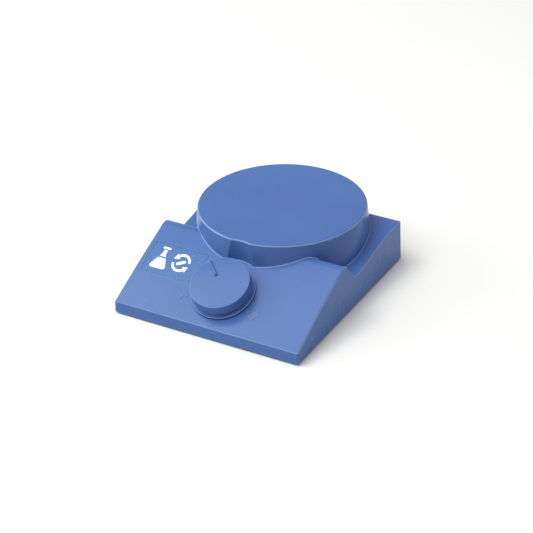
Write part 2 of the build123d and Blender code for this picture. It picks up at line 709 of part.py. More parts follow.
with BuildPart() as pot_washer:
    along_dial(WASHER_R, WASHER_LOW, WASHER_LOW + WASHER_T)
    along_dial(WASHER_BORE_R, 0, BUSHING_TOP, mode=Mode.SUBTRACT)
pot_washer.part.label = "pot_washer"
export_step(pot_washer.part, "parts/pot_washer.step")

with BuildPart() as pot_nut:
    with BuildSketch(KNOB_PLANE.offset(WASHER_LOW + WASHER_T)):
        RegularPolygon(NUT_R, 6)
        Circle(BUSHING_R, mode=Mode.SUBTRACT)
    extrude(amount=NUT_T)
pot_nut.part.label = "pot_nut"
export_step(pot_nut.part, "parts/pot_nut.step")

# ---- Control board, hung parallel to the slope ----

BOARD_BACK = BOARD_TOP - BOARD_T
CONNECTORS = [(-CONNECTOR_X, CONNECTOR_U), (CONNECTOR_X, CONNECTOR_U)]
CONNECTOR_PINS = [
    (centre[0] + dx, CONNECTOR_U) for centre in CONNECTORS for dx in (-LEAD_PITCH / 2, LEAD_PITCH / 2)
]
CAPACITOR_PINS = [(x, CAPACITOR_AT[1]) for x in CAPACITOR_PINS_X]

with BuildPart() as control_board:
    with BuildSketch(KNOB_PLANE.offset(BOARD_TOP)):
        with Locations((0, (BOARD_LOW + BOARD_HIGH) / 2)):
            RectangleRounded(BOARD_W, BOARD_HIGH - BOARD_LOW, BOARD_CORNER_R)
        with Locations(*BOARD_SCREWS):
            Circle(BOARD_PILOT_R + HOLE_SLACK, mode=Mode.SUBTRACT)
        with Locations(*POT_PINS, *CONNECTOR_PINS, *CAPACITOR_PINS, *TRANSISTOR_PINS):
            Circle(PIN_R + SNUG, mode=Mode.SUBTRACT)
    extrude(amount=-BOARD_T)
control_board.part.label = "control_board"
export_step(control_board.part, "parts/control_board.step")

with BuildPart() as board_screws:
    with Locations(KNOB_PLANE.offset(BOARD_BACK)):
        with Locations(*BOARD_SCREWS):
            add(pan_screw(BOARD_HEAD_R, BOARD_HEAD_H, BOARD_PILOT_R - PRESS_SLACK, BOARD_SCREW_L))
board_screws.part.label = "board_screws"
export_step(board_screws.part, "parts/board_screws.step")

# Electrolytic capacitor standing on the back of the board
with BuildPart() as capacitor:
    with Locations(KNOB_PLANE.offset(BOARD_BACK)):
        with Locations(CAPACITOR_AT):
            Cylinder(CAPACITOR_R, CAPACITOR_L, align=HANGING)
            fillet(capacitor.edges().filter_by(GeomType.CIRCLE), CAPACITOR_EDGE_R)
        with Locations(*CAPACITOR_PINS):
            Cylinder(PIN_R, BOARD_T + PIN_POKE, align=STANDING)
capacitor.part.label = "capacitor"
export_step(capacitor.part, "parts/capacitor.step")

# Power transistor lying flat on the back of the board, tab against it
with BuildPart() as power_transistor:
    with Locations(KNOB_PLANE.offset(BOARD_BACK)):
        with Locations(TRANSISTOR_AT):
            Box(TRANSISTOR_W, TAB_L, TAB_T, align=FORWARD)
            Box(TRANSISTOR_W, TRANSISTOR_L, TRANSISTOR_T, align=FORWARD)
            with Locations((0, TAB_HOLE_AT)):
                Cylinder(TAB_HOLE_R, 2 * TAB_T, mode=Mode.SUBTRACT)
        with Locations(*TRANSISTOR_PINS):
            Cylinder(PIN_R, 2 * TRANSISTOR_LEG_DROP)
            with Locations((0, 0, -TRANSISTOR_LEG_DROP)):
                Box(*TRANSISTOR_LEG, align=(Align.CENTER, Align.MIN, Align.CENTER))
power_transistor.part.label = "power_transistor"
export_step(power_transistor.part, "parts/power_transistor.step")

# Control chip on the front of the board, with a row of legs each side
with BuildPart() as control_chip:
    with Locations(KNOB_PLANE.offset(BOARD_TOP)):
        with Locations(CHIP_AT):
            with Locations((0, 0, CHIP_AIR)):
                Box(*CHIP_SIZE, align=STANDING)
            with GridLocations(*CHIP_LEG_PITCH, *CHIP_LEGS):
                Box(*CHIP_LEG, align=STANDING)
control_chip.part.label = "control_chip"
export_step(control_chip.part, "parts/control_chip.step")

# Small resistors on the front of the board
with BuildPart() as resistors:
    with Locations(KNOB_PLANE.offset(BOARD_TOP)):
        with Locations(RESISTORS_AT):
            with GridLocations(*RESISTOR_PITCH, *RESISTOR_GRID):
                Box(*RESISTOR_SIZE, align=STANDING)
resistors.part.label = "resistors"
export_step(resistors.part, "parts/resistors.step")

# Rectifier diode that guards against a reversed supply
with BuildPart() as diode:
    with Locations(KNOB_PLANE.offset(BOARD_TOP)):
        with Locations(DIODE_AT):
            Box(*DIODE_SIZE, align=STANDING)
            Box(*DIODE_ENDS, align=STANDING)
diode.part.label = "diode"
export_step(diode.part, "parts/diode.step")

for name, centre in {"motor_connector": CONNECTORS[0], "power_connector": CONNECTORS[1]}.items():
    with BuildPart() as connector:
        with Locations(KNOB_PLANE.offset(BOARD_BACK)):
            with Locations(centre):
                Box(*CONNECTOR_SIZE, align=HANGING)
                with Locations((0, CONNECTOR_SIZE[1] / 2, -CONNECTOR_LEAD_H)):
                    for x in (-LEAD_PITCH / 2, LEAD_PITCH / 2):
                        with Locations(Location((x, 0, 0), (90, 0, 0))):
                            Cylinder(LEAD_D / 2 + SNUG, 2 * CONNECTOR_GRIP, mode=Mode.SUBTRACT)
                with Locations((-LEAD_PITCH / 2, 0), (LEAD_PITCH / 2, 0)):
                    Cylinder(PIN_R, BOARD_T + PIN_POKE, align=STANDING)
    connector.part.label = name
    export_step(connector.part, f"parts/{name}.step")

# ---- Motor, hung upside down from the drum's ceiling ----

with BuildPart() as motor_bracket:
    with BuildSketch(Plane.XY.offset(STAND + BRACKET_LOW)):
        with Locations((0, DRUM_Y)):
            Circle(BRACKET_HUB_R)
            with PolarLocations(BRACKET_SCREW_R / 2, 3, start_angle=BRACKET_START):
                SlotCenterToCenter(BRACKET_SCREW_R, ARM_W)
            Circle(CAN_NECK_R + HOLE_SLACK, mode=Mode.SUBTRACT)
            with PolarLocations(BRACKET_SCREW_R, 3, start_angle=BRACKET_START):
                Circle(PILOT_R + HOLE_SLACK, mode=Mode.SUBTRACT)
            with PolarLocations(MOTOR_SCREW_R, 2):
                Circle(MOTOR_PILOT_R + HOLE_SLACK, mode=Mode.SUBTRACT)
    extrude(amount=BRACKET_TOP - BRACKET_LOW)
motor_bracket.part.label = "motor_bracket"
export_step(motor_bracket.part, "parts/motor_bracket.step")

with BuildPart() as bracket_screws:
    with Locations((0, DRUM_Y, STAND + BRACKET_LOW)):
        with PolarLocations(BRACKET_SCREW_R, 3, start_angle=BRACKET_START):
            add(pan_screw(HEAD_R, HEAD_H, PILOT_R - PRESS_SLACK, BRACKET_SCREW_L))
bracket_screws.part.label = "bracket_screws"
export_step(bracket_screws.part, "parts/bracket_screws.step")

# These two point down, into the face of the motor
with BuildPart() as motor_screws:
    with Locations((0, DRUM_Y, STAND + BRACKET_TOP)):
        with PolarLocations(MOTOR_SCREW_R, 2):
            with Locations(Location((0, 0, 0), (180, 0, 0))):
                add(pan_screw(MOTOR_HEAD_R, MOTOR_HEAD_H, MOTOR_PILOT_R - PRESS_SLACK, MOTOR_SCREW_L))
motor_screws.part.label = "motor_screws"
export_step(motor_screws.part, "parts/motor_screws.step")

# Drawn steel can, open below, with a neck for the upper bush
with BuildPart() as motor_can:
    turned(CAN_R, CAN_LOW, BRACKET_LOW)
    fillet(motor_can.edges().group_by(Axis.Z)[-1], CAN_EDGE_R)
    turned(CAN_NECK_R, BRACKET_LOW - CAN_T, CAN_NECK_TOP)
    turned(CAN_R - CAN_T, CAN_LOW, BRACKET_LOW - CAN_T, mode=Mode.SUBTRACT)
    turned(BUSH_R, CAN_LOW, CAN_NECK_TOP, mode=Mode.SUBTRACT)
    with Locations((0, DRUM_Y, STAND + BRACKET_LOW)):
        with PolarLocations(MOTOR_SCREW_R, 2):
            Cylinder(MOTOR_PILOT_R, 2 * CAN_T, mode=Mode.SUBTRACT)
motor_can.part.label = "motor_can"
export_step(motor_can.part, "parts/motor_can.step")

# Moulded end cap with the lower bush's neck and two brush guides
with BuildPart() as motor_end_cap:
    turned(CAN_R - CAN_T, CAN_LOW, CAP_TOP)
    turned(CAP_NECK_R, CAP_NECK_LOW, CAP_TOP)
    with Locations((0, DRUM_Y, STAND + CAP_TOP)):
        for x in (-(GUIDE_IN + GUIDE_OUT) / 2, (GUIDE_IN + GUIDE_OUT) / 2):
            with Locations((x, 0)):
                Box(GUIDE_OUT - GUIDE_IN, GUIDE_W, COMMUTATOR_TOP - CAP_TOP, align=STANDING)
    with Locations((0, DRUM_Y, STAND + BRUSH_LOW)):
        Box(BRUSH_SLOT_L, BRUSH_W + 2 * SNUG, BRUSH_W + SNUG, align=STANDING, mode=Mode.SUBTRACT)
    turned(BUSH_R, LOWER_BUSH_LOW, COMMUTATOR_TOP, mode=Mode.SUBTRACT)
    with Locations((0, DRUM_Y + TERMINAL_Y, STAND + CAN_LOW)):
        for x in (-TERMINAL_X, TERMINAL_X):
            with Locations((x, 0)):
                Box(TERMINAL_W, TERMINAL_T, 3 * CAN_T, align=STANDING, mode=Mode.SUBTRACT)
motor_end_cap.part.label = "motor_end_cap"
export_step(motor_end_cap.part, "parts/motor_end_cap.step")

with BuildPart() as upper_bush:
    turned(BUSH_R, UPPER_BUSH_LOW, CAN_NECK_TOP)
    turned(SHAFT_R + RUNNING_FIT, CAN_LOW, CARRIER_TOP, mode=Mode.SUBTRACT)
upper_bush.part.label = "upper_bush"
export_step(upper_bush.part, "parts/upper_bush.step")

with BuildPart() as lower_bush:
    turned(BUSH_R, LOWER_BUSH_LOW, CAP_TOP)
    turned(SHAFT_R + RUNNING_FIT, CAP_NECK_LOW, CARRIER_TOP, mode=Mode.SUBTRACT)
lower_bush.part.label = "lower_bush"
export_step(lower_bush.part, "parts/lower_bush.step")

# Two curved magnets that line the can
with BuildPart() as field_magnets:
    turned(CAN_R - CAN_T, MAGNET_ARC_LOW, MAGNET_ARC_TOP)
    turned(MAGNET_ARC_IN, MAGNET_ARC_LOW, MAGNET_ARC_TOP, mode=Mode.SUBTRACT)
    with Locations((0, DRUM_Y, STAND + MAGNET_ARC_LOW)):
        Box(2 * CAN_R, MAGNET_ARC_GAP, CAN_R, align=STANDING, mode=Mode.SUBTRACT)
field_magnets.part.label = "field_magnets"
export_step(field_magnets.part, "parts/field_magnets.step")

with BuildPart() as brushes:
    with Locations((0, DRUM_Y, STAND + BRUSH_LOW)):
        Box(2 * BRUSH_REACH, BRUSH_W, BRUSH_W, align=STANDING)
    turned(COMMUTATOR_R + BRUSH_AIR, CAP_TOP, CORE_LOW, mode=Mode.SUBTRACT)
brushes.part.label = "brushes"
export_step(brushes.part, "parts/brushes.step")

# Leaf springs that press the brushes inwards
with BuildPart() as brush_springs:
    with Locations((0, DRUM_Y, STAND + BRUSH_LOW)):
        for x in (-(BRUSH_REACH + SPRING_T / 2), BRUSH_REACH + SPRING_T / 2):
            with Locations((x, 0)):
                Box(SPRING_T, BRUSH_W, BRUSH_W, align=STANDING)
brush_springs.part.label = "brush_springs"
export_step(brush_springs.part, "parts/brush_springs.step")

with BuildPart() as motor_terminals:
    with Locations((0, DRUM_Y + TERMINAL_Y, STAND + TERMINAL_LOW)):
        for x in (-TERMINAL_X, TERMINAL_X):
            with Locations((x, 0)):
                Box(TERMINAL_W, TERMINAL_T, CAP_TOP - TERMINAL_LOW, align=STANDING)
motor_terminals.part.label = "motor_terminals"
export_step(motor_terminals.part, "parts/motor_terminals.step")

# ---- Rotor ----

with BuildPart() as motor_shaft:
    turned(SHAFT_R, SHAFT_LOW, SHAFT_TOP)
    chamfer(motor_shaft.edges().filter_by(GeomType.CIRCLE), SHAFT_CHAMFER)
motor_shaft.part.label = "motor_shaft"
export_step(motor_shaft.part, "parts/motor_shaft.step")

# Stacked iron core with three poles
with BuildPart() as armature_core:
    with BuildSketch(Plane.XY.offset(STAND + CORE_LOW)):
        with Locations((0, DRUM_Y)):
            Circle(CORE_R)
            Circle(CORE_RIM_R, mode=Mode.SUBTRACT)
            with PolarLocations(CORE_R, 3, start_angle=60):
                Rectangle(2 * (CORE_R - CORE_HUB_R), POLE_GAP, mode=Mode.SUBTRACT)
            with PolarLocations(POLE_L / 2, 3):
                Rectangle(POLE_L, POLE_W)
            Circle(CORE_HUB_R)
            Circle(SHAFT_R, mode=Mode.SUBTRACT)
    extrude(amount=CORE_TOP - CORE_LOW)
armature_core.part.label = "armature_core"
export_step(armature_core.part, "parts/armature_core.step")

# One copper coil round each pole
with BuildPart() as windings:
    with Locations((0, DRUM_Y, STAND + CORE_LOW - COIL_OVERHANG)):
        with PolarLocations((COIL_IN + COIL_OUT) / 2, 3):
            Box(
                COIL_OUT - COIL_IN,
                2 * COIL_HALF_W,
                CORE_TOP - CORE_LOW + 2 * COIL_OVERHANG,
                align=STANDING,
            )
    fillet(windings.edges().filter_by(Axis.Z, reverse=True), COIL_EDGE_R)
    with Locations((0, DRUM_Y, STAND + CORE_LOW - PRESS_SLACK)):
        with PolarLocations((COIL_IN + COIL_OUT) / 2, 3):
            Box(
                2 * (COIL_OUT - COIL_IN),
                POLE_W + 2 * PRESS_SLACK,
                CORE_TOP - CORE_LOW + 2 * PRESS_SLACK,
                align=STANDING,
                mode=Mode.SUBTRACT,
            )
windings.part.label = "windings"
export_step(windings.part, "parts/windings.step")

# Three copper segments on a moulded sleeve
with BuildPart() as commutator_segments:
    turned(COMMUTATOR_R, COMMUTATOR_LOW, COMMUTATOR_TOP)
    turned(SLEEVE_R, COMMUTATOR_LOW, COMMUTATOR_TOP, mode=Mode.SUBTRACT)
    with Locations((0, DRUM_Y, STAND + COMMUTATOR_LOW)):
        with PolarLocations(COMMUTATOR_R, 3, start_angle=60):
            Box(2 * (COMMUTATOR_R - SHAFT_R), SEGMENT_GAP, CAN_R, align=STANDING, mode=Mode.SUBTRACT)
commutator_segments.part.label = "commutator_segments"
export_step(commutator_segments.part, "parts/commutator_segments.step")

with BuildPart() as commutator_sleeve:
    turned(SLEEVE_R, COMMUTATOR_LOW, CORE_LOW)
    turned(SHAFT_R, COMMUTATOR_LOW, CORE_LOW, mode=Mode.SUBTRACT)
commutator_sleeve.part.label = "commutator_sleeve"
export_step(commutator_sleeve.part, "parts/commutator_sleeve.step")

# Wheel that carries the drive magnets close under the set-up plate
with BuildPart() as magnet_carrier:
    turned(CARRIER_R, CARRIER_LOW, CARRIER_TOP)
    fillet(magnet_carrier.edges().filter_by(GeomType.CIRCLE), CARRIER_EDGE_R)
    turned(CARRIER_HUB_R, CARRIER_HUB_LOW, CARRIER_LOW + 1)
    with Locations((0, DRUM_Y, STAND + CHANNEL_LOW)):
        Box(CHANNEL_L, CHANNEL_W, SPARE, align=STANDING, mode=Mode.SUBTRACT)
    turned(SHAFT_R, CARRIER_HUB_LOW, CHANNEL_LOW, mode=Mode.SUBTRACT)
    with Locations(GRUB_PLANE):
        Cylinder(GRUB_R, CARRIER_HUB_R, align=STANDING, mode=Mode.SUBTRACT)
magnet_carrier.part.label = "magnet_carrier"
export_step(magnet_carrier.part, "parts/magnet_carrier.step")

with BuildPart() as grub_screw:
    with Locations(GRUB_PLANE.offset(SHAFT_R + SNUG)):
        Cylinder(GRUB_R - PRESS_SLACK, GRUB_L, align=STANDING)
    with BuildSketch(GRUB_PLANE.offset(SHAFT_R + GRUB_L - GRUB_SOCKET_L)):
        RegularPolygon(GRUB_SOCKET_R, 6)
    extrude(amount=GRUB_L, mode=Mode.SUBTRACT)
grub_screw.part.label = "grub_screw"
export_step(grub_screw.part, "parts/grub_screw.step")

with BuildPart() as yoke_plate:
    with Locations((0, DRUM_Y, STAND + CHANNEL_LOW)):
        Box(YOKE_L, MAGNET_SIDE, YOKE_T, align=STANDING)
yoke_plate.part.label = "yoke_plate"
export_step(yoke_plate.part, "parts/yoke_plate.step")

with BuildPart() as drive_magnets:
    with Locations((0, DRUM_Y, STAND + CHANNEL_LOW + YOKE_T)):
        with Locations((-MAGNET_X, 0), (MAGNET_X, 0)):
            Box(MAGNET_SIDE, MAGNET_SIDE, MAGNET_H, align=STANDING)
    chamfer(drive_magnets.edges().filter_by(Axis.Z), MAGNET_CHAMFER)
drive_magnets.part.label = "drive_magnets"
export_step(drive_magnets.part, "parts/drive_magnets.step")

# ---- Supply socket ----

with BuildPart() as dc_socket:
    with Locations(JACK_PLANE.offset(-JACK_SINK)):
        Cylinder(JACK_FLANGE_R, JACK_FLANGE_T, align=STANDING)
    with Locations(JACK_PLANE.offset(-JACK_BODY)):
        Cylinder(JACK_R, JACK_BODY, align=STANDING)
    with Locations(JACK_PLANE.offset(JACK_FLANGE_T - JACK_SINK)):
        Cylinder(JACK_BORE_R, JACK_BORE_L, align=HANGING, mode=Mode.SUBTRACT)
    fillet(dc_socket.edges().filter_by(GeomType.CIRCLE).sort_by(Axis.Y)[-2:], JACK_EDGE_R)
dc_socket.part.label = "dc_socket"
export_step(dc_socket.part, "parts/dc_socket.step")

with BuildPart() as socket_pin:
    with Locations(JACK_PLANE.offset(JACK_FLANGE_T - JACK_SINK - JACK_BORE_L)):
        Cylinder(JACK_PIN_R, JACK_PIN_L, align=STANDING)
    fillet(socket_pin.edges().filter_by(GeomType.CIRCLE).sort_by(Axis.Y)[-1], JACK_PIN_TIP_R)
socket_pin.part.label = "socket_pin"
export_step(socket_pin.part, "parts/socket_pin.step")

with BuildPart() as socket_nut:
    with BuildSketch(JACK_PLANE.offset(-WALL - JACK_SINK)):
        RegularPolygon(JACK_NUT_R, 6)
        Circle(JACK_R, mode=Mode.SUBTRACT)
    extrude(amount=-JACK_NUT_T)
socket_nut.part.label = "socket_nut"
export_step(socket_nut.part, "parts/socket_nut.step")

with BuildPart() as socket_terminals:
    with Locations(JACK_PLANE.offset(-JACK_BODY)):
        with Locations((-LEAD_PITCH / 2, 0), (LEAD_PITCH / 2, 0)):
            Box(TAG_W, TAG_T, TAG_L, align=HANGING)
socket_terminals.part.label = "socket_terminals"
export_step(socket_terminals.part, "parts/socket_terminals.step")

# ---- Inner leads, in case coordinates: X, depth and height ----


def inner_point(x, depth, height):
    """A point inside the case."""
    return (x, FRONT_Y + depth, STAND + height)


def connector_run(x):
    """The straight start of a lead, out of its connector and along the board."""
    leads_u = CONNECTOR_U + CONNECTOR_SIZE[1] / 2
    height = BOARD_BACK - CONNECTOR_LEAD_H
    start = KNOB_PLANE.from_local_coords(Vector(x, leads_u - CONNECTOR_GRIP + 0.2, height))
    end = KNOB_PLANE.from_local_coords(Vector(x, leads_u + CONNECTOR_RUN, height))
    return [tuple(start), tuple(end)]


tab_depth = DRUM_DEPTH + TERMINAL_Y - TERMINAL_T / 2 - SOLDER_GAP
tag_depth = CASE_D - JACK_BODY - TAG_L - SOLDER_GAP
LEAD_ROUTES = {
    "motor_lead_red": connector_run(-CONNECTOR_X - LEAD_PITCH / 2) + [
        inner_point(-27.0, 60.0, 11.5),
        inner_point(-21.0, 70.0, 6.0),
        inner_point(-11.0, 76.5, 4.6),
        inner_point(-TERMINAL_X, tab_depth, 4.9),
    ],
    "motor_lead_black": connector_run(-CONNECTOR_X + LEAD_PITCH / 2) + [
        inner_point(-22.5, 59.0, 11.0),
        inner_point(-12.0, 66.5, 6.0),
        inner_point(2.0, 73.0, 4.2),
        inner_point(TERMINAL_X, tab_depth, 4.9),
    ],
    "power_lead_red": connector_run(CONNECTOR_X + LEAD_PITCH / 2) + [
        inner_point(31.5, 59.5, 12.0),
        inner_point(39.0, 70.0, 9.5),
        inner_point(44.5, 82.0, 8.5),
        inner_point(46.0, 97.0, 9.5),
        inner_point(JACK_X + LEAD_PITCH / 2, tag_depth, JACK_H),
    ],
    "power_lead_black": connector_run(CONNECTOR_X - LEAD_PITCH / 2) + [
        inner_point(28.0, 62.0, 11.0),
        inner_point(35.5, 73.0, 7.5),
        inner_point(41.5, 85.0, 6.5),
        inner_point(43.0, 99.0, 8.5),
        inner_point(JACK_X - LEAD_PITCH / 2, tag_depth, JACK_H),
    ],
}
for name, route in LEAD_ROUTES.items():
    radii = bend_radii(route)
    print(name, "radii", [round(radius, 1) for radius in radii])
    with BuildPart() as wire:
        with BuildLine() as path:
            FilletPolyline(*route, radius=radii)
        with BuildSketch(Plane(origin=path.line @ 0, z_dir=path.line % 0)):
            Circle(LEAD_D / 2)
        sweep()
    wire.part.label = name
    export_step(wire.part, f"parts/{name}.step")
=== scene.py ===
"""Looks for a compact magnetic stirrer: finishes, the printed pictogram, light and camera."""

import json
from math import atan2, cos, hypot, pi, radians, sin

import bmesh
import bpy
from mathutils import Matrix, Vector
from mathutils.bvhtree import BVHTree


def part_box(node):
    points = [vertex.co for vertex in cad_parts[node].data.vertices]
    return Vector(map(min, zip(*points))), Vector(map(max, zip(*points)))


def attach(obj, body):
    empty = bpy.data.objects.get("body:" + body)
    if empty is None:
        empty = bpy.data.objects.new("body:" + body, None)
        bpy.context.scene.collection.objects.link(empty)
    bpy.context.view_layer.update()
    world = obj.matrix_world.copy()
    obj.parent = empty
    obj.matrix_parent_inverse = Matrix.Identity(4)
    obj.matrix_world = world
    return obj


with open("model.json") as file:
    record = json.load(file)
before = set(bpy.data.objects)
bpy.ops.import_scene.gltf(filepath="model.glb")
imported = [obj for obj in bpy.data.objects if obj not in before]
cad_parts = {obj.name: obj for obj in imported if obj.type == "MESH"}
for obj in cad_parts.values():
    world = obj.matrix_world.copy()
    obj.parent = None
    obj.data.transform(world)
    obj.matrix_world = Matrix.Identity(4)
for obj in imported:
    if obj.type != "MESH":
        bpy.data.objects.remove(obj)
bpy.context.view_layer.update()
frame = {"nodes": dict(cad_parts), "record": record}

MM = 0.001


# ---- Camera ----

AZIMUTH = radians(30.09)
ELEVATION = radians(31.03)
ROLL = radians(-1.54)
LENS_MM = 125.0
SENSOR_MM = 36.0
CLIP_START = 0.01
DISTANCE = 1.063
TARGET = Vector((11.8, -21.8, 23.3)) * MM


def make_camera():
    """A camera that looks at the target from the given azimuth, elevation and distance."""
    back = Vector((
        sin(AZIMUTH) * cos(ELEVATION),
        -cos(AZIMUTH) * cos(ELEVATION),
        sin(ELEVATION),
    ))
    right = Vector((cos(AZIMUTH), sin(AZIMUTH), 0))
    up = back.cross(right)
    rolled_right = right * cos(ROLL) + up * sin(ROLL)
    rolled_up = up * cos(ROLL) - right * sin(ROLL)
    camera = bpy.data.objects.new("camera", bpy.data.cameras.new("camera"))
    camera.data.lens = LENS_MM
    camera.data.sensor_width = SENSOR_MM
    camera.data.clip_start = CLIP_START
    turn = Matrix((rolled_right, rolled_up, back)).transposed().to_4x4()
    camera.matrix_world = Matrix.Translation(TARGET + back * DISTANCE) @ turn
    bpy.context.scene.collection.objects.link(camera)
    bpy.context.scene.camera = camera


# ---- Node helpers ----

def new_material(name, colour, roughness, metallic=0.0):
    """A material with its shader, and object coordinates for the textures."""
    material = bpy.data.materials.new(name)
    material.use_nodes = True
    tree = material.node_tree
    shader = tree.nodes["Principled BSDF"]
    shader.inputs["Base Color"].default_value = (*colour, 1)
    shader.inputs["Roughness"].default_value = roughness
    shader.inputs["Metallic"].default_value = metallic
    coordinates = tree.nodes.new("ShaderNodeTexCoord").outputs["Object"]
    return material, tree, shader, coordinates


def noise(tree, vector, scale, detail=3.0, stretch=None):
    """A noise value of about scale features a metre; stretch squeezes it along the axes."""
    if stretch:
        mapping = tree.nodes.new("ShaderNodeMapping")
        mapping.inputs["Scale"].default_value = stretch
        tree.links.new(vector, mapping.inputs["Vector"])
        vector = mapping.outputs["Vector"]
    node = tree.nodes.new("ShaderNodeTexNoise")
    node.inputs["Scale"].default_value = scale
    node.inputs["Detail"].default_value = detail
    tree.links.new(vector, node.inputs["Vector"])
    return node.outputs["Fac"]


def remap(tree, value, low, high, start=0.3, end=0.7):
    """The value's range from start to end, stretched to low and high."""
    node = tree.nodes.new("ShaderNodeMapRange")
    for socket, number in (("From Min", start), ("From Max", end), ("To Min", low), ("To Max", high)):
        node.inputs[socket].default_value = number
    tree.links.new(value, node.inputs["Value"])
    return node.outputs["Result"]


def combine(tree, operation, first, second):
    """One math operation on a value and a value or number."""
    node = tree.nodes.new("ShaderNodeMath")
    node.operation = operation
    tree.links.new(first, node.inputs[0])
    if isinstance(second, (int, float)):
        node.inputs[1].default_value = second
    else:
        tree.links.new(second, node.inputs[1])
    return node.outputs["Value"]


def mix_colours(tree, factor, first, second):
    """A colour between two, each a tuple or a socket."""
    node = tree.nodes.new("ShaderNodeMix")
    node.data_type = "RGBA"
    tree.links.new(factor, node.inputs["Factor"])
    for socket, colour in ((node.inputs[6], first), (node.inputs[7], second)):
        if isinstance(colour, tuple):
            socket.default_value = (*colour, 1)
        else:
            tree.links.new(colour, socket)
    return node.outputs[2]


def add_bump(tree, shader, height, strength, depth_mm):
    """A bump on top of whatever bump the shader has already."""
    node = tree.nodes.new("ShaderNodeBump")
    node.inputs["Strength"].default_value = strength
    node.inputs["Distance"].default_value = depth_mm * MM
    tree.links.new(height, node.inputs["Height"])
    if shader.inputs["Normal"].links:
        tree.links.new(shader.inputs["Normal"].links[0].from_socket, node.inputs["Normal"])
    tree.links.new(node.outputs["Normal"], shader.inputs["Normal"])


def edge_mask(tree, radius_mm):
    """1 on sharp outer and inner edges, 0 on flat faces."""
    bevel = tree.nodes.new("ShaderNodeBevel")
    bevel.samples = 6
    bevel.inputs["Radius"].default_value = radius_mm * MM
    geometry = tree.nodes.new("ShaderNodeNewGeometry")
    dot = tree.nodes.new("ShaderNodeVectorMath")
    dot.operation = "DOT_PRODUCT"
    tree.links.new(bevel.outputs["Normal"], dot.inputs[0])
    tree.links.new(geometry.outputs["Normal"], dot.inputs[1])
    return remap(tree, dot.outputs["Value"], low=1, high=0, start=0.88, end=0.995)


def rounded_highlight_mask(tree, up, band):
    """Where a highlight is painted: 1 on the rounding between a face that looks up and an upright one, 0 on
    either face.

    band holds four cosines of the angle to up: where the mask begins to rise and is full,
    and where it begins to fall and is gone.
    """
    normal = tree.nodes.new("ShaderNodeTexCoord").outputs["Normal"]
    dot = tree.nodes.new("ShaderNodeVectorMath")
    dot.operation = "DOT_PRODUCT"
    dot.inputs[1].default_value = up
    tree.links.new(normal, dot.inputs[0])
    rising = remap(tree, dot.outputs["Value"], low=0, high=1, start=band[0], end=band[1])
    falling = remap(tree, dot.outputs["Value"], low=1, high=0, start=band[2], end=band[3])
    # The steep fall behind the case's ridge looks back: it is a face, not a rounding, and gets no painted
    # highlight
    turned = tree.nodes.new("ShaderNodeSeparateXYZ")
    tree.links.new(normal, turned.inputs["Vector"])
    not_backward = remap(tree, turned.outputs["Y"], low=1, high=0, start=0.5, end=0.7)
    return combine(tree, "MULTIPLY", combine(tree, "MULTIPLY", rising, falling), not_backward)


def shade(colour, factor):
    """The colour made lighter or darker."""
    return tuple(min(1.0, channel * factor) for channel in colour)


# ---- Finishes ----

def moulded_plastic(
    name, colour, roughness, grain_mm=0.35, highlight_and_wear=0.6, edge_mm=0.6, highlight_and_wear_colour=None, rounding=None,
):
    """Injection-moulded plastic: fine eroded grain, cloudy gloss, handling marks, and lighter edges that
    are a painted edge highlight, partly standing for rubbed wear.

    The edge colour argument is the colour of the lighter edges: a painted edge highlight, partly standing
    for wear. rounding, an up direction and a band for the rounded highlight mask, paints that highlight on
    the wide roundings too.
    """
    material, tree, shader, place = new_material(name, colour, roughness)
    cloud = noise(tree, place, scale=28, detail=4)
    speck = noise(tree, place, scale=1400, detail=2)
    body = mix_colours(tree, remap(tree, cloud, low=0, high=1), shade(colour, 0.955), shade(colour, 1.045))
    specks = remap(tree, speck, low=0, high=0.05, start=0.45, end=0.75)
    body = mix_colours(tree, specks, body, shade(colour, 1.2))
    # Lighter edges and roundings: painted edge highlight, partly standing for rubbed wear
    edges = edge_mask(tree, edge_mm)
    if rounding:
        edges = combine(tree, "MAXIMUM", edges, rounded_highlight_mask(tree, *rounding))
    patchy = remap(tree, noise(tree, place, scale=130), low=0.6, high=1)
    lit_and_rubbed = combine(tree, "MULTIPLY", edges, patchy)
    highlight_and_wear_colour = highlight_and_wear_colour or tuple(0.75 * channel + 0.15 for channel in colour)
    body = mix_colours(tree, combine(tree, "MULTIPLY", lit_and_rubbed, highlight_and_wear), body, highlight_and_wear_colour)
    tree.links.new(body, shader.inputs["Base Color"])
    smears = noise(tree, place, scale=75, detail=5, stretch=(1, 2.6, 1.7))
    matt = combine(tree, "ADD", remap(tree, smears, low=-0.02, high=0.025), roughness)
    matt = combine(tree, "ADD", matt, remap(tree, speck, low=-0.015, high=0.015))
    tree.links.new(matt, shader.inputs["Roughness"])
    shader.inputs["Specular IOR Level"].default_value = 0.18
    grain = noise(tree, place, scale=1 / (grain_mm * MM), detail=2)
    add_bump(tree, shader, grain, strength=0.25, depth_mm=0.003)
    ripple = noise(tree, place, scale=40, detail=1)
    add_bump(tree, shader, ripple, strength=0.1, depth_mm=0.02)
    return material


def rubber(name, colour):
    """Matt rubber with a dusty bloom on its edges."""
    material, tree, shader, place = new_material(name, colour, roughness=0.8)
    patches = remap(tree, noise(tree, place, scale=220, detail=5), low=0, high=0.7)
    bloom = combine(tree, "MAXIMUM", edge_mask(tree, radius_mm=0.6), patches)
    body = mix_colours(tree, combine(tree, "MULTIPLY", bloom, 0.5), colour, shade(colour, 2.4))
    tree.links.new(body, shader.inputs["Base Color"])
    matt = remap(tree, noise(tree, place, scale=500), low=0.7, high=0.92)
    tree.links.new(matt, shader.inputs["Roughness"])
    shader.inputs["Specular IOR Level"].default_value = 0.3
    grain = noise(tree, place, scale=2600, detail=4)
    add_bump(tree, shader, grain, strength=0.5, depth_mm=0.012)
    return material


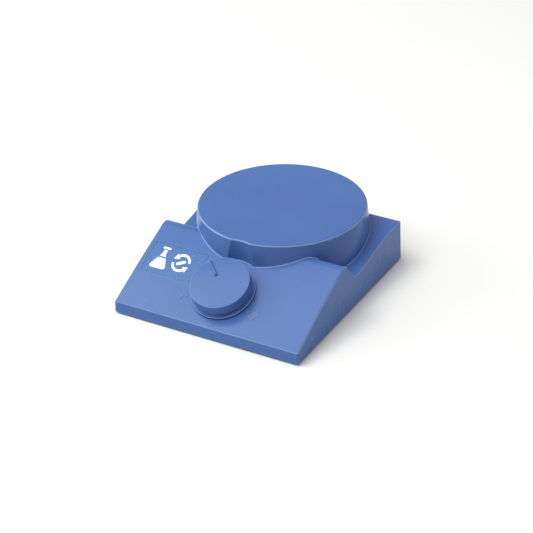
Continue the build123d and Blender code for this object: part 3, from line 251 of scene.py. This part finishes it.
def metal(name, colour, roughness, lines=(1, 1, 1), tarnish=0.8, grain=900):
    """Worked metal: drawn or turned lines, spots of tarnish, bright edges."""
    material, tree, shader, place = new_material(name, colour, roughness, metallic=1.0)
    brushed = noise(tree, place, scale=grain, detail=3, stretch=lines)
    spots = noise(tree, place, scale=140, detail=5)
    body = mix_colours(tree, remap(tree, spots, low=0, high=1), shade(colour, tarnish), colour)
    body = mix_colours(tree, remap(tree, brushed, low=0, high=0.4), body, shade(colour, 1.15))
    edges = combine(tree, "MULTIPLY", edge_mask(tree, radius_mm=0.25), 0.5)
    body = mix_colours(tree, edges, body, shade(colour, 1.3))
    tree.links.new(body, shader.inputs["Base Color"])
    matt = combine(tree, "ADD", remap(tree, brushed, low=-0.08, high=0.1), roughness)
    matt = combine(tree, "ADD", matt, remap(tree, spots, low=0.06, high=-0.03))
    tree.links.new(matt, shader.inputs["Roughness"])
    add_bump(tree, shader, brushed, strength=0.3, depth_mm=0.006)
    return material


def film(name, colour, roughness):
    """Thin printed film: an even skin with slight ripples, fine dust and a soft gloss."""
    material, tree, shader, place = new_material(name, colour, roughness)
    cloud = noise(tree, place, scale=40, detail=3)
    dust = noise(tree, place, scale=900, detail=4)
    body = mix_colours(tree, remap(tree, cloud, low=0, high=1), shade(colour, 0.97), shade(colour, 1.03))
    dusty = remap(tree, dust, low=0, high=0.12, start=0.6, end=0.75)
    body = mix_colours(tree, dusty, body, DUST)
    tree.links.new(body, shader.inputs["Base Color"])
    matt = combine(tree, "ADD", remap(tree, dust, low=-0.04, high=0.06), roughness)
    tree.links.new(matt, shader.inputs["Roughness"])
    shader.inputs["Specular IOR Level"].default_value = 0.2
    add_bump(tree, shader, noise(tree, place, scale=120, detail=2), strength=0.15, depth_mm=0.02)
    add_bump(tree, shader, noise(tree, place, scale=4200, detail=2), strength=0.2, depth_mm=0.002)
    return material


def circuit_board(name, mask, copper):
    """Solder mask over copper tracks, with a woven base below."""
    material, tree, shader, place = new_material(name, mask, roughness=0.35)
    tracks = tree.nodes.new("ShaderNodeTexBrick")
    tracks.inputs["Scale"].default_value = 260
    tracks.inputs["Mortar Size"].default_value = 0.035
    tree.links.new(place, tracks.inputs["Vector"])
    lines = tracks.outputs["Fac"]
    weave = noise(tree, place, scale=1800, detail=2)
    body = mix_colours(tree, remap(tree, weave, low=0, high=1), shade(mask, 0.85), shade(mask, 1.1))
    body = mix_colours(tree, combine(tree, "MULTIPLY", lines, 0.35), body, copper)
    tree.links.new(body, shader.inputs["Base Color"])
    tree.links.new(remap(tree, weave, low=0.25, high=0.42), shader.inputs["Roughness"])
    add_bump(tree, shader, lines, strength=0.5, depth_mm=0.03)
    add_bump(tree, shader, weave, strength=0.2, depth_mm=0.004)
    return material


BLUE = (0.062, 0.135, 0.36)
# Lighter blues for the case's and knob's edges: painted edge highlights
EDGE_HIGHLIGHT_BLUE = (0.25, 0.37, 0.62)
GLEAM_BLUE = (0.26, 0.42, 0.8)
DUST = (0.6, 0.62, 0.65)
UPRIGHT = (0, 0, 1)
KNOB_UP = (0, -0.42, 0.907)                  # the control slope's normal
CASE_HIGHLIGHT_BAND = (0.2, 0.5, 0.7, 0.86)        # bands for the painted highlight on the roundings
KNOB_HIGHLIGHT_BAND = (0.62, 0.74, 0.86, 0.96)     # leaves the flanks of the pointer out
LEAD_SKIN = dict(roughness=0.4, grain_mm=0.3, highlight_and_wear=0.05)

# The maker and its settings for each material slot of the record
FINISHES = {
    "case_plastic": (moulded_plastic, dict(
        colour=BLUE, roughness=0.25, highlight_and_wear=0.8, edge_mm=0.45, highlight_and_wear_colour=EDGE_HIGHLIGHT_BLUE,
        rounding=(UPRIGHT, CASE_HIGHLIGHT_BAND),
    )),
    "knob_plastic": (moulded_plastic, dict(
        colour=shade(BLUE, 0.98), roughness=0.25, grain_mm=0.28, highlight_and_wear=0.9, edge_mm=0.2, highlight_and_wear_colour=GLEAM_BLUE,
        rounding=(KNOB_UP, KNOB_HIGHLIGHT_BAND),
    )),
    "dark_plastic": (moulded_plastic, dict(colour=(0.018, 0.018, 0.02), roughness=0.45, grain_mm=0.2)),
    "white_plastic": (moulded_plastic, dict(colour=(0.66, 0.64, 0.58), roughness=0.42, grain_mm=0.25)),
    "graphite": (moulded_plastic, dict(colour=(0.03, 0.03, 0.032), roughness=0.55, grain_mm=0.12)),
    "lead_red": (moulded_plastic, dict(colour=(0.42, 0.012, 0.008), **LEAD_SKIN)),
    "lead_black": (moulded_plastic, dict(colour=(0.014, 0.014, 0.015), **LEAD_SKIN)),
    "foot_rubber": (rubber, dict(colour=(0.022, 0.022, 0.024))),
    "label_film": (film, dict(colour=(0.048, 0.14, 0.35), roughness=0.28)),
    "rating_film": (film, dict(colour=(0.62, 0.63, 0.64), roughness=0.42)),
    "board": (circuit_board, dict(mask=(0.02, 0.13, 0.05), copper=(0.35, 0.28, 0.12))),
    "steel": (metal, dict(colour=(0.56, 0.56, 0.56), roughness=0.34)),
    "bright_steel": (metal, dict(colour=(0.66, 0.66, 0.67), roughness=0.2, lines=(1, 1, 9))),
    "core_steel": (metal, dict(colour=(0.16, 0.16, 0.17), roughness=0.5, lines=(0.2, 0.2, 6), tarnish=0.6)),
    "aluminium_can": (metal, dict(colour=(0.42, 0.44, 0.5), roughness=0.36, lines=(0.4, 0.4, 5))),
    "copper": (metal, dict(colour=(0.62, 0.27, 0.12), roughness=0.33, lines=(0.3, 0.3, 5))),
    "bronze": (metal, dict(colour=(0.42, 0.27, 0.12), roughness=0.45, grain=2400)),
    "brass": (metal, dict(colour=(0.68, 0.48, 0.19), roughness=0.28)),
    "magnet": (metal, dict(colour=(0.09, 0.09, 0.095), roughness=0.42, tarnish=0.7, grain=3000)),
}


def finish_nodes():
    """Gives every CAD piece the finish of its slot in the record."""
    slots = {part["node"]: part["material_slot"] for part in frame["record"]["subparts"]}
    made = {}
    for name, node in frame["nodes"].items():
        slot = slots[name]
        if slot not in made:
            maker, settings = FINISHES[slot]
            made[slot] = maker(slot + "_finish", **settings)
        node.data.materials.clear()
        node.data.materials.append(made[slot])


# ---- Pictogram printed on the label strip ----

INK = (0.86, 0.87, 0.88)
INK_T = 0.05 * MM                      # above the label's face
INK_SINK = 0.02 * MM                   # below it
ABOVE_LABEL = 5 * MM                   # where the search for the label's face starts

# Millimetres from the label's lower left corner
FLASK_X = 8.9
FLASK_STROKE = 1.3
FLASK_FOOT = (3.7, 5.2, 1.4)           # half spread, height and radius of the rounded foot corners
ARROWS_CENTRE = (22.0, 10.6)
ARROWS_R = 5.0
ARROW_SWEEP = 118                      # degrees
ARROW_STROKE = (1.3, 1.7)              # at the tail and at the head
ARROW_HEAD_HALF_W = 2.0
ARROW_HEAD_L = 3.0
BAR_ENDS = [(20.2, 9.6), (23.8, 11.6)]
BAR_W = 1.9
CAP_STEPS = 6                          # sides of a stroke's round end


def arc_points(centre, radius, start, end, count):
    """Points of an arc, angles in degrees."""
    points = []
    for i in range(count + 1):
        angle = radians(start + (end - start) * i / count)
        points.append((centre[0] + radius * cos(angle), centre[1] + radius * sin(angle)))
    return points


def ribbon(points, widths):
    """The outline of a stroke along the points, with round ends. A width for each end."""
    left, right = [], []
    last = len(points) - 1
    for i, (x, y) in enumerate(points):
        x0, y0 = points[max(i - 1, 0)]
        x1, y1 = points[min(i + 1, last)]
        length = hypot(x1 - x0, y1 - y0)
        half = (widths[0] + (widths[1] - widths[0]) * i / last) / 2
        nx, ny = -(y1 - y0) / length * half, (x1 - x0) / length * half
        left.append((x + nx, y + ny))
        right.append((x - nx, y - ny))

    def cap(centre, edge, radius):
        start = atan2(edge[1] - centre[1], edge[0] - centre[0])
        angles = [start - pi * k / CAP_STEPS for k in range(1, CAP_STEPS)]
        return [(centre[0] + radius * cos(angle), centre[1] + radius * sin(angle)) for angle in angles]

    end_cap = cap(points[-1], left[-1], widths[1] / 2)
    start_cap = cap(points[0], right[0], widths[0] / 2)
    return left + end_cap + right[::-1] + start_cap


def flask_shapes():
    """A conical flask: rim, neck and body, with the liquid's surface as a gap."""
    rim = ribbon([(FLASK_X - 2, 17.2), (FLASK_X + 2, 17.2)], (FLASK_STROKE, FLASK_STROKE))
    neck = [
        (FLASK_X - 1.2, 15.9), (FLASK_X + 1.2, 15.9), (FLASK_X + 1.2, 13.4),
        (FLASK_X + 2.1, 11.6), (FLASK_X - 2.1, 11.6), (FLASK_X - 1.2, 13.4),
    ]
    spread, height, radius = FLASK_FOOT
    body = [(FLASK_X - 2.6, 10.6), (FLASK_X + 2.6, 10.6), (FLASK_X + 5, 5.6)]
    body += arc_points((FLASK_X + spread, height), radius, 15, -90, 8)
    body += arc_points((FLASK_X - spread, height), radius, -90, -195, 8)
    return [rim, neck, body]


def turning_shapes():
    """Two arrows that turn round a bar."""
    shapes = []
    for start in (15, 195):
        end = start + ARROW_SWEEP
        shapes.append(ribbon(arc_points(ARROWS_CENTRE, ARROWS_R, start, end, 20), ARROW_STROKE))
        outward = Vector((cos(radians(end)), sin(radians(end))))
        ahead = Vector((-outward.y, outward.x))
        root = Vector(ARROWS_CENTRE) + outward * ARROWS_R
        corners = (outward * ARROW_HEAD_HALF_W, ahead * ARROW_HEAD_L, -outward * ARROW_HEAD_HALF_W)
        shapes.append([tuple(root + corner) for corner in corners])
    shapes.append(ribbon(BAR_ENDS, (BAR_W, BAR_W)))
    return shapes


def print_pictogram():
    """The white pictogram, a thin skin of ink that follows the label's curve."""
    label = frame["nodes"]["label_strip"]
    low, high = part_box("label_strip")
    surface = BVHTree.FromObject(label, bpy.context.evaluated_depsgraph_get())
    sheet = bmesh.new()
    for outline in flask_shapes() + turning_shapes():
        tops, bottoms = [], []
        for x, y in outline:
            above = Vector((low[0] + x * MM, low[1] + y * MM, high[2] + ABOVE_LABEL))
            point, normal = surface.ray_cast(above, Vector((0, 0, -1)))[:2]
            tops.append(sheet.verts.new(point + normal * INK_T))
            bottoms.append(sheet.verts.new(point - normal * INK_SINK))
        sheet.faces.new(tops)
        sheet.faces.new(bottoms[::-1])
        for i in range(len(tops)):
            j = (i + 1) % len(tops)
            sheet.faces.new((tops[i], bottoms[i], bottoms[j], tops[j]))
    bmesh.ops.recalc_face_normals(sheet, faces=sheet.faces)
    mesh = bpy.data.meshes.new("label_pictogram")
    sheet.to_mesh(mesh)
    sheet.free()
    mesh.materials.append(film("white_ink", INK, roughness=0.45))
    pictogram = bpy.data.objects.new("label_pictogram", mesh)
    bpy.context.scene.collection.objects.link(pictogram)
    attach(pictogram, "housing")


# ---- Stage and light ----

FLOOR_HALF = 4.0
FLOOR_DARK = (0.8, 0.81, 0.79)
FLOOR_LIGHT = (0.82, 0.83, 0.81)
SURROUND = (1.0, 0.9, 0.94, 1)
SURROUND_STRENGTH = 0.54
SUBJECT = (0, 0, 0.02)

# Name, place in metres, size in metres, power in watts and colour of each softbox
LIGHTS = [
    ("overhead", (-0.35, -0.32, 1.3), (1.1, 0.9), 14, (0.94, 1.0, 0.95)),
    ("key", (-1.2, -0.45, 0.6), (0.6, 0.5), 6, (0.88, 1.0, 0.87)),
    ("sheen", (-0.7, -0.1, 1.05), (0.3, 0.3), 1.2, (0.95, 1.0, 0.9)),
    ("front_glint", (-0.57, -0.67, 0.96), (0.3, 0.25), 2, (1, 1, 1)),
    ("back_glint", (0.42, 0.96, 0.78), (0.25, 0.12), 1, (1, 1, 1)),
]


def area_light(name, place, size, power, colour):
    """A rectangular softbox at place, turned to the object."""
    data = bpy.data.lights.new(name, "AREA")
    data.shape = "RECTANGLE"
    data.size, data.size_y = size
    data.energy = power
    data.color = colour
    light = bpy.data.objects.new(name, data)
    light.location = place
    light.rotation_euler = (Vector(SUBJECT) - Vector(place)).to_track_quat("-Z", "Y").to_euler()
    bpy.context.scene.collection.objects.link(light)


def build_stage():
    """A wide pale floor that runs out of the picture."""
    mesh = bpy.data.meshes.new("floor")
    corners = [(-1, -1), (1, -1), (1, 1), (-1, 1)]
    mesh.from_pydata([(x * FLOOR_HALF, y * FLOOR_HALF, 0) for x, y in corners], [], [(0, 1, 2, 3)])
    material, tree, shader, place = new_material("floor_paper", FLOOR_DARK, roughness=0.6)
    cloud = remap(tree, noise(tree, place, scale=6), low=0, high=1)
    body = mix_colours(tree, cloud, FLOOR_DARK, FLOOR_LIGHT)
    tree.links.new(body, shader.inputs["Base Color"])
    shader.inputs["Specular IOR Level"].default_value = 0.2
    add_bump(tree, shader, noise(tree, place, scale=700, detail=3), strength=0.1, depth_mm=0.02)
    mesh.materials.append(material)
    floor = bpy.data.objects.new("floor", mesh)
    bpy.context.scene.collection.objects.link(floor)


def light_stage():
    """A soft even surround, a broad light overhead, a key from the left and three small glints."""
    world = bpy.data.worlds.new("surround")
    bpy.context.scene.world = world
    world.use_nodes = True
    background = world.node_tree.nodes["Background"]
    background.inputs["Color"].default_value = SURROUND
    background.inputs["Strength"].default_value = SURROUND_STRENGTH
    for light in LIGHTS:
        area_light(*light)


finish_nodes()
print_pictogram()
build_stage()
light_stage()
make_camera()
bpy.context.scene.view_settings.view_transform = "Standard"
